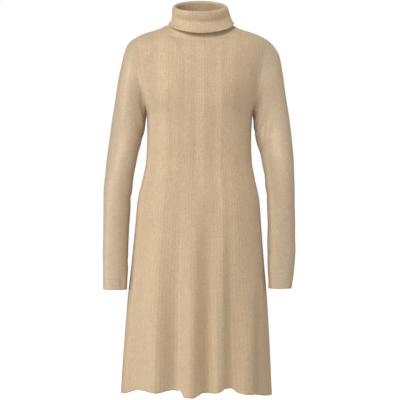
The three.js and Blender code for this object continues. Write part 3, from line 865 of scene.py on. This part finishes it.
def studio_paper():
    """Matte white paper of the studio floor. To the eye it brightens from a metre out, to melt into the white
    air, but it casts no light of its own."""
    material = bpy.data.materials.new("matte white paper")
    material.use_nodes = True
    tree = material.node_tree
    tree.nodes.clear()
    place = add(tree, "ShaderNodeTexCoord").outputs["Object"]
    grain = add(tree, "ShaderNodeTexNoise", {"Vector": place, "Scale": 300.0})
    relief = add(
        tree,
        "ShaderNodeBump",
        {"Height": grain.outputs["Fac"], "Strength": 0.05, "Distance": 0.0005},
    )
    across = add(tree, "ShaderNodeVectorMath", {0: place, 1: (1, 1, 0)}, operation="MULTIPLY").outputs[0]
    away = add(tree, "ShaderNodeVectorMath", {0: across}, operation="LENGTH").outputs["Value"]
    glow = add(
        tree,
        "ShaderNodeMapRange",
        {0: away, 1: 1.0, 2: 3.0, 3: 0.1, 4: 0.9},
        interpolation_type="SMOOTHSTEP",
    )
    seen = add(tree, "ShaderNodeLightPath").outputs["Is Camera Ray"]
    shader = add(
        tree,
        "ShaderNodeBsdfPrincipled",
        {
            "Base Color": linear("#f6f5f3"),
            "Roughness": 0.9,
            "Emission Color": linear("#ffffff"),
            "Emission Strength": maths(tree, "MULTIPLY", glow.outputs[0], seen),
            "Normal": relief.outputs[0],
        },
    )
    add(tree, "ShaderNodeOutputMaterial", {"Surface": shader.outputs[0]})
    return material


# Settings


class KnitSettings(bpy.types.PropertyGroup):
    """Sizes of the knit."""

    ribs: bpy.props.IntProperty(
        name="Ribs",
        description="Ribs across the front, and across the back",
        default=54,
        min=20,
        max=70,
    )
    rib_raise: bpy.props.FloatProperty(
        name="Rib height, mm",
        description="How far a rib stands over the channels",
        default=0.26,
        min=0.1,
        max=1.5,
    )
    collar_ribs: bpy.props.IntProperty(
        name="Collar ribs",
        description="Light ribs round the collar",
        default=48,
        min=20,
        max=80,
    )
    thickness: bpy.props.FloatProperty(
        name="Thickness",
        description="Thickness of the knit",
        default=0.002,
        min=0.001,
        max=0.003,
        unit="LENGTH",
    )
    seam: bpy.props.FloatProperty(
        name="Seam",
        description="Radius of the linked stitches at the neck",
        default=0.0012,
        min=0.0005,
        unit="LENGTH",
    )


class YarnSettings(bpy.types.PropertyGroup):
    """Colours of the wool, as sRGB hex."""

    yarn: bpy.props.StringProperty(
        name="Yarn",
        description="The wool's main beige",
        default="#ceb795",
    )
    dark: bpy.props.StringProperty(
        name="Dark fibre",
        description="The darker fibres in the blend",
        default="#b79c7b",
    )
    light: bpy.props.StringProperty(
        name="Light fibre",
        description="The lighter fibres and the halo",
        default="#e8dcc9",
    )
    # Painted shade: this darker colour is mixed into the channels between ribs and the hollows between
    # stitches, where shade falls.
    painted_shade: bpy.props.StringProperty(
        name="Channel",
        description="Shade between ribs and in seams",
        default="#987450",
    )


class StudioSettings(bpy.types.PropertyGroup):
    """Camera and light."""

    distance: bpy.props.FloatProperty(
        name="Distance",
        description="Camera to the dress",
        default=3.7,
        unit="LENGTH",
    )
    height: bpy.props.FloatProperty(
        name="Height",
        description="Camera height in the frame",
        default=-0.46,
        unit="LENGTH",
    )
    width: bpy.props.FloatProperty(
        name="Width",
        description="Width of the view at the dress",
        default=1.06,
        unit="LENGTH",
    )
    key: bpy.props.FloatProperty(
        name="Key light", description="Power of the soft light from above", default=126.0, unit="POWER"
    )
    side: bpy.props.FloatProperty(
        name="Side light", description="Power of the broad light from the left", default=38.0, unit="POWER"
    )
    fill: bpy.props.FloatProperty(
        name="Fill light", description="Power of the soft light from the right", default=38.0, unit="POWER"
    )


# Operators


class DRESS_OT_body(bpy.types.Operator):
    """Knits the front and back panels"""

    bl_idname = "dress.body"
    bl_label = "Front and back"

    def execute(self, context):
        sizes = context.scene.dress_knit
        material = ribbed_wool(context.scene.dress_yarn)
        for side in ("front", "back"):
            grid, plain, uv, inside = panel_grid(side, sizes.ribs, sizes.rib_raise)
            mesh = grid_mesh(f"{side}_knit", grid, uv, False, inside)
            tidy_mesh(mesh, 0.0002)
            piece = cloth_piece(f"{side}_knit", mesh, sizes.thickness, -1, material, side)
        return {"FINISHED"}


class DRESS_OT_sleeves(bpy.types.Operator):
    """Knits the two sleeves"""

    bl_idname = "dress.sleeves"
    bl_label = "Sleeves"

    def execute(self, context):
        sizes = context.scene.dress_knit
        material = plain_wool(context.scene.dress_yarn)
        for side, sign in (("right", -1), ("left", 1)):
            grid, plain, uv = sleeve_grid(side, sign)
            mesh = grid_mesh(f"sleeve_{side}_knit", grid, uv, True)
            tidy_mesh(mesh, 0.00005)
            node = f"sleeve_{side}"
            piece = cloth_piece(f"{node}_knit", mesh, sizes.thickness, -1, material, node)
        return {"FINISHED"}


class DRESS_OT_collar(bpy.types.Operator):
    """Knits the turned-down roll collar"""

    bl_idname = "dress.collar"
    bl_label = "Collar"

    def execute(self, context):
        sizes = context.scene.dress_knit
        grid, plain, uv = collar_grid(sizes.collar_ribs, sizes.rib_raise / 4)
        mesh = grid_mesh("collar_knit", grid, uv, True)
        tidy_mesh(mesh, 0.00005)
        material = collar_wool(context.scene.dress_yarn)
        piece = cloth_piece("collar_knit", mesh, sizes.thickness * 1.1, 0, material, "collar")
        return {"FINISHED"}


class DRESS_OT_seams(bpy.types.Operator):
    """Links the collar and the sleeves to the body"""

    bl_idname = "dress.seams"
    bl_label = "Seams"

    def execute(self, context):
        size = context.scene.dress_knit.seam / MM
        material = seam_yarn(context.scene.dress_yarn)
        seam_cord("neck_seam", neck_loop(1000), size, material)
        for side, sign in (("right", -1), ("left", 1)):
            seam_cord(f"armhole_seam_{side}", armhole_loop(sign, 900), 0.7 * size, material)
        return {"FINISHED"}


class DRESS_OT_stage(bpy.types.Operator):
    """Sets the floor, the lights and the camera"""

    bl_idname = "dress.stage"
    bl_label = "Stage"

    def execute(self, context):
        scene = context.scene
        studio = scene.dress_studio
        low, _ = CAD_BOX
        floor = low[2] - FLOOR_DROP
        mesh = bpy.data.meshes.new("floor")
        work = bmesh.new()
        bmesh.ops.create_circle(work, cap_ends=True, segments=96, radius=FLOOR_RADIUS)
        bmesh.ops.translate(work, verts=work.verts, vec=(0, 0, floor))
        work.to_mesh(mesh)
        work.free()
        ground = bpy.data.objects.new("floor", mesh)
        scene.collection.objects.link(ground)
        mesh.materials.append(studio_paper())

        data = bpy.data.cameras.new("camera")
        data.sensor_width = 36.0
        data.lens = 36.0 * studio.distance / studio.width
        data.clip_end = 60.0
        camera = bpy.data.objects.new("camera", data)
        camera.location = (CAMERA_SIDE, -studio.distance, studio.height)
        camera.rotation_euler = (math.pi / 2, 0, 0)
        scene.collection.objects.link(camera)
        scene.camera = camera

        aim = (0.0, 0.0, -0.45)
        for name, place, size, power in (
            ("key", (-1.2, -2.6, 2.4), 2.1, studio.key),
            ("side", (-3.0, -1.5, -0.3), 1.8, studio.side),
            ("fill", (3.0, -1.9, 0.4), 2.4, studio.fill),
            ("back", (1.2, 2.6, 1.4), 2.0, studio.fill),
        ):
            light = bpy.data.lights.new(name, "AREA")
            light.energy = power
            light.size = size
            lamp = bpy.data.objects.new(name, light)
            lamp.location = place
            direction = np.array(aim) - np.array(place)
            flat = math.hypot(direction[0], direction[1])
            tilt = math.atan2(flat, -direction[2])
            turn = math.atan2(direction[1], direction[0]) - math.pi / 2
            lamp.rotation_euler = (tilt, 0, turn)
            scene.collection.objects.link(lamp)

        world = bpy.data.worlds.new("studio air")
        world.use_nodes = True
        tree = world.node_tree
        tree.nodes.clear()
        soft = add(tree, "ShaderNodeBackground", {"Color": linear("#f3ddbe"), "Strength": 0.18})
        white = add(tree, "ShaderNodeBackground", {"Color": linear("#ffffff"), "Strength": 1.0})
        seen = add(tree, "ShaderNodeLightPath").outputs["Is Camera Ray"]
        both = add(tree, "ShaderNodeMixShader", {0: seen, 1: soft.outputs[0], 2: white.outputs[0]})
        add(tree, "ShaderNodeOutputWorld", {"Surface": both.outputs[0]})
        scene.world = world
        scene.view_settings.view_transform = "Standard"
        return {"FINISHED"}


class DRESS_PT_panel(bpy.types.Panel):
    """Lists the dress's settings and operators"""

    bl_idname = "DRESS_PT_panel"
    bl_label = "Sweater dress"
    bl_space_type = "VIEW_3D"
    bl_region_type = "UI"
    bl_category = "Sweater dress"

    def draw(self, context):
        for group in (context.scene.dress_knit, context.scene.dress_yarn, context.scene.dress_studio):
            for name in group.bl_rna.properties.keys():
                if name not in ("rna_type", "name"):
                    self.layout.prop(group, name)
        for operator in OPERATORS:
            self.layout.operator(operator.bl_idname)


OPERATORS = (DRESS_OT_body, DRESS_OT_sleeves, DRESS_OT_collar, DRESS_OT_seams, DRESS_OT_stage)
GROUPS = {"dress_knit": KnitSettings, "dress_yarn": YarnSettings, "dress_studio": StudioSettings}


def register():
    for group in GROUPS.values():
        bpy.utils.register_class(group)
    for name, group in GROUPS.items():
        setattr(bpy.types.Scene, name, bpy.props.PointerProperty(type=group))
    for thing in (*OPERATORS, DRESS_PT_panel):
        bpy.utils.register_class(thing)


def unregister():
    for thing in (DRESS_PT_panel, *reversed(OPERATORS)):
        bpy.utils.unregister_class(thing)
    for name in GROUPS:
        delattr(bpy.types.Scene, name)
    for group in GROUPS.values():
        bpy.utils.unregister_class(group)


def main():
    register()
    bpy.ops.dress.body()
    bpy.ops.dress.sleeves()
    bpy.ops.dress.collar()
    bpy.ops.dress.seams()
    bpy.ops.dress.stage()


if __name__ == "__main__":
    main()
